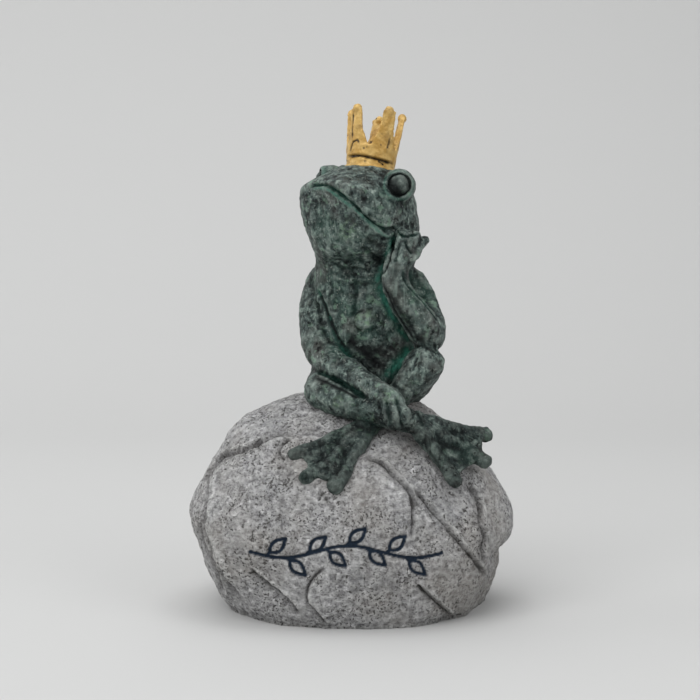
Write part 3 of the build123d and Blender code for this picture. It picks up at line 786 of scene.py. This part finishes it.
# The legs and feet darken towards the stone between two heights
LOW_TOP, LOW_BOTTOM = 0.109, 0.094
up = node(tree, "SeparateXYZ", {"Vector": place}).outputs["Z"]
low_down = node(tree, "MapRange", {0: up, 1: LOW_TOP, 2: LOW_BOTTOM}).outputs[0]
colour = mottle.outputs[0]
for paint, strength, shares in (
    (BRONZE_GREEN, 0.50, (speckle(tree, place, 0.014, 0.50, 0.66),)),
    (BRONZE_BROWN, 0.50, (speckle(tree, place, 0.011, 0.54, 0.66),)),
    # Paler crests and high spots: rubbed and dry-brushed paint and painted highlight
    (BRONZE_RUBBED_AND_HIGHLIGHT, 0.60, (crest, speckle(tree, place, 0.0045, 0.36, 0.60))),
    (BRONZE_PALE, 0.60, (proud, speckle(tree, place, 0.0030, 0.46, 0.62))),
    (BRONZE_STROKE, 0.45, strokes),
    (BRONZE_SCRAPE, 0.70, scrapes),
    (FLECK_GREEN, 0.45, (speckle(tree, place, 0.0020, 0.57, 0.64), speckle(tree, place, 0.013, 0.47, 0.58))),
    (FLECK_PALE, 0.40, (speckle(tree, place, 0.0007, 0.62, 0.70, 2),)),
    (MOSS_GREEN, 0.70, (moss, speckle(tree, place, 0.0013, 0.44, 0.62))),
    (BRONZE_BLACK, 0.85, (crack,)),
    # Black in the hollows, the folds and along the strokes: painted shade
    (BRONZE_BLACK, 0.70, (hollow,)),
    (FOLD_SHADE, 0.92, (fold,)),
    (VERDIGRIS, 1.0, (green, speckle(tree, place, 0.0026, 0.26, 0.54))),
    (SHADE_BLACK, 1.0, (painted_shade, speckle(tree, place, 0.0020, 0.24, 0.42))),
    (LOW_DARK, 0.50, (low_down,)),
    (EYE_DARK, 0.92, (eye,)),
):
    colour = coat(tree, colour, paint, strength, *shares)
height = 0.0
for pattern, share, kind in ((cloud, 0.8, "ADD"), (crack, 0.25, "SUBTRACT")):
    part = node(tree, "Math", {0: pattern, 1: share}, operation="MULTIPLY", use_clamp=True).outputs[0]
    height = node(tree, "Math", {0: height, 1: part}, operation=kind, use_clamp=True).outputs[0]
bump = node(tree, "Bump", {"Height": height, "Strength": 1.0, "Distance": BRONZE_BUMP})
tree.links.new(colour, shader.inputs["Base Color"])
tree.links.new(bump.outputs[0], shader.inputs["Normal"])
shader.inputs["Roughness"].default_value = 0.45
shader.inputs["Specular IOR Level"].default_value = 0.13
skin.data.materials.append(bronze)
take(skin)
bpy.ops.object.shade_smooth()

# The skin is parted again where the castings meet, one shell for each
for i, name in enumerate(FROG_NODES):
    limb = skin.copy()
    limb.data = skin.data.copy()
    limb.name = "frog_" + name
    scene.collection.objects.link(limb)
    pick_faces(limb, [casting != i for casting in owner])
    bpy.ops.mesh.delete(type="FACE")
    bpy.ops.object.mode_set(mode="OBJECT")
    worked(limb, "SOLIDIFY", thickness=SKIN_WALL, offset=-1)
    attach(limb, "root")
    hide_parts(name)
bpy.data.objects.remove(skin)

# The crown: a small resin casting with five beaded points, glued on the head by a spigot.
# It is painted antique gold over a dark brown undercoat, and its hollows are darkened with undercoat brown
# and painted shade.
CROWN_VOXEL = 0.0004
CROWN_MID = Vector((0.0113, 0.0019, 0.2349))
CROWN_AXIS = Vector((0.112, 0.156, 0.981))
CROWN_TURN = math.radians(-9)
BEATEN_SIZE, BEATEN_DEPTH = 0.0032, 0.0008
GOLD_BUMP = 0.0003
GOLD_DULL = "#bb9247"
GOLD_BRIGHT = "#d8b56e"
GOLD_WORN = "#8a6a35"
GOLD_SPOT = "#3a2b17"
UNDERCOAT_AND_SHADE = "#241a10"
CROWN_WASH_AND_SHADE = "#1c140c"
# Dark lines in the gold, darkened with wash and painted shade: line in the photo, depth and width
CROWN_MARKS = (
    (((343.5, 158), (345, 157.5), (348, 156.5), (352, 156), (359, 155.5), (367, 157), (375, 158.5),
      (380, 160), (387, 162), (393, 164)), 0.0015, 0.0007),
    (((350, 152), (351, 147), (353, 142), (357, 140), (359, 143)), 0.0006, 0.0005),
    (((387, 149), (389, 144), (390, 138)), 0.0006, 0.0005),
    (((352, 140), (352, 130), (353, 120), (353, 113)), 0.0006, 0.0005),
    (((378, 161), (382, 163), (384, 165)), 0.0007, 0.0007),
)
crown = casting_copy("gold_crown", "crown")
worked(crown, "REMESH", mode="VOXEL", voxel_size=CROWN_VOXEL)
worked(crown, "SMOOTH", factor=0.5, iterations=6)
turn = Matrix.Rotation(CROWN_TURN, 4, CROWN_AXIS)
crown.data.transform(Matrix.Translation(CROWN_MID) @ turn @ Matrix.Translation(-CROWN_MID))
for pixels, depth, width in CROWN_MARKS:
    crease(crown, points_under(crown, pixels), depth, width, 1.0, 1.1, "wash_and_shade")
roughen(crown, "beaten", "CLOUDS", BEATEN_SIZE, BEATEN_DEPTH, noise_depth=2)

# Gold paint: metal powder in lacquer, brushed on, so its shine is soft. It looks patchy, worn brown in
# places, with dark spots, and dark lines and hollows in undercoat brown and painted shade.
CROWN_HOLLOW = 0.00035
SPOT_SPACING = 0.0036
paint_mask(crown, "hollow", hollow_of(crown, 14, CROWN_HOLLOW))
gold, tree, shader, place, masks = new_paint("gold_paint", "hollow", "wash_and_shade")
hollow, wash_and_shade = masks
spots = node(tree, "TexVoronoi", {"Vector": place, "Scale": 1 / SPOT_SPACING, "Randomness": 1.0})
spots = node(tree, "MapRange", {0: spots.outputs["Distance"], 1: 0.24, 2: 0.12}).outputs[0]
colour = coat(tree, linear(GOLD_DULL), GOLD_BRIGHT, 1.0, speckle(tree, place, 0.0022, 0.35, 0.65))
for paint, strength, shares in (
    (GOLD_WORN, 0.55, (speckle(tree, place, 0.0040, 0.56, 0.68),)),
    (GOLD_SPOT, 0.85, (spots, speckle(tree, place, 0.0050, 0.48, 0.56))),
    # Dark brown in the hollows and along the lines: undercoat and painted shade
    (UNDERCOAT_AND_SHADE, 1.0, (hollow,)),
    (CROWN_WASH_AND_SHADE, 1.0, (wash_and_shade, speckle(tree, place, 0.0012, 0.30, 0.50))),
):
    colour = coat(tree, colour, paint, strength, *shares)
brushing = speckle(tree, place, 0.0010, 0.3, 0.7)
bump = node(tree, "Bump", {"Height": brushing, "Strength": 0.3, "Distance": GOLD_BUMP})
tree.links.new(colour, shader.inputs["Base Color"])
tree.links.new(bump.outputs[0], shader.inputs["Normal"])
shader.inputs["Roughness"].default_value = 0.45
shader.inputs["Metallic"].default_value = 0.25
crown.data.materials.append(gold)
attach(crown, "root")
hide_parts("crown")

# The rod, dowel and pins: plain steel rod, cut to length and glued into bores, hidden inside the castings
# that they hold together. They keep their turned shape.
STEEL_DULL = "#8f9092"
STEEL_BRIGHT = "#b4b5b7"
# Drawn steel: pulled through a die, which leaves fine bright streaks along the rod
steel, tree, shader, place, masks = new_paint("drawn_steel")
stretch = node(tree, "Mapping", {"Vector": place, "Scale": (1.0, 1.0, 0.05)})
streaks = speckle(tree, stretch.outputs[0], 0.0006, 0.3, 0.7)
colour = coat(tree, linear(STEEL_DULL), STEEL_BRIGHT, 1.0, streaks)
tree.links.new(colour, shader.inputs["Base Color"])
shader.inputs["Metallic"].default_value = 1.0
shader.inputs["Roughness"].default_value = 0.35
for name in ("seat_rod", "neck_dowel", "shoulder_pins", "hip_pins"):
    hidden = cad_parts[name]
    hidden.data.materials.clear()
    hidden.data.materials.append(steel)

# The studio: a sheet of pale grey paper that lies under the boulder and curves up behind it,
# under four large soft lamps and an even pale surround.
SWEEP_PALE = "#cacac9"
SWEEP_HALF, SWEEP_FRONT, SWEEP_BEND, SWEEP_RADIUS, SWEEP_TOP = 3.0, -3.0, 0.6, 0.5, 3.0
rows = [(SWEEP_FRONT, 0.0), (0.0, 0.0), (SWEEP_BEND, 0.0)]
for angle in np.radians(np.arange(10, 91, 10)):
    rows.append((SWEEP_BEND + SWEEP_RADIUS * math.sin(angle), SWEEP_RADIUS - SWEEP_RADIUS * math.cos(angle)))
rows.append((SWEEP_BEND + SWEEP_RADIUS, SWEEP_TOP))
corners = [(x, y, z) for y, z in rows for x in (-SWEEP_HALF, SWEEP_HALF)]
sheets = [(2 * i, 2 * i + 1, 2 * i + 3, 2 * i + 2) for i in range(len(rows) - 1)]
paper = bpy.data.meshes.new("paper_sweep")
paper.from_pydata(corners, [], sheets)
floor = bpy.data.objects.new("paper_sweep", paper)
scene.collection.objects.link(floor)
for face in paper.polygons:
    face.use_smooth = True
card, tree, shader, place, masks = new_paint("sweep_paper")
shader.inputs["Base Color"].default_value = linear(SWEEP_PALE)
shader.inputs["Roughness"].default_value = 0.9
paper.materials.append(card)

# Each lamp: place, width in metres and power in watts, all turned to the frog's lap
LAMPS = (
    ("key_softbox", (-0.7, -1.1, 1.3), 1.3, 15),
    ("side_softbox", (-1.3, 0.3, 0.6), 1.0, 4),
    ("fill_softbox", (1.1, -0.9, 0.9), 1.0, 5),
    ("top_softbox", (0.0, 0.2, 1.6), 1.2, 9),
)
LIT_POINT = Vector((0, 0, 0.12))
SURROUND, SURROUND_STRENGTH = "#e6e8ea", 0.52
for name, at, size, power in LAMPS:
    lamp = bpy.data.lights.new(name, "AREA")
    lamp.size = size
    lamp.energy = power
    box = bpy.data.objects.new(name, lamp)
    scene.collection.objects.link(box)
    box.location = at
    box.rotation_euler = (LIT_POINT - Vector(at)).to_track_quat("-Z", "Y").to_euler()
world = bpy.data.worlds.new("studio")
scene.world = world
world.use_nodes = True
sky = world.node_tree.nodes["Background"]
sky.inputs[0].default_value = linear(SURROUND)
sky.inputs[1].default_value = SURROUND_STRENGTH
scene.view_settings.view_transform = "Standard"
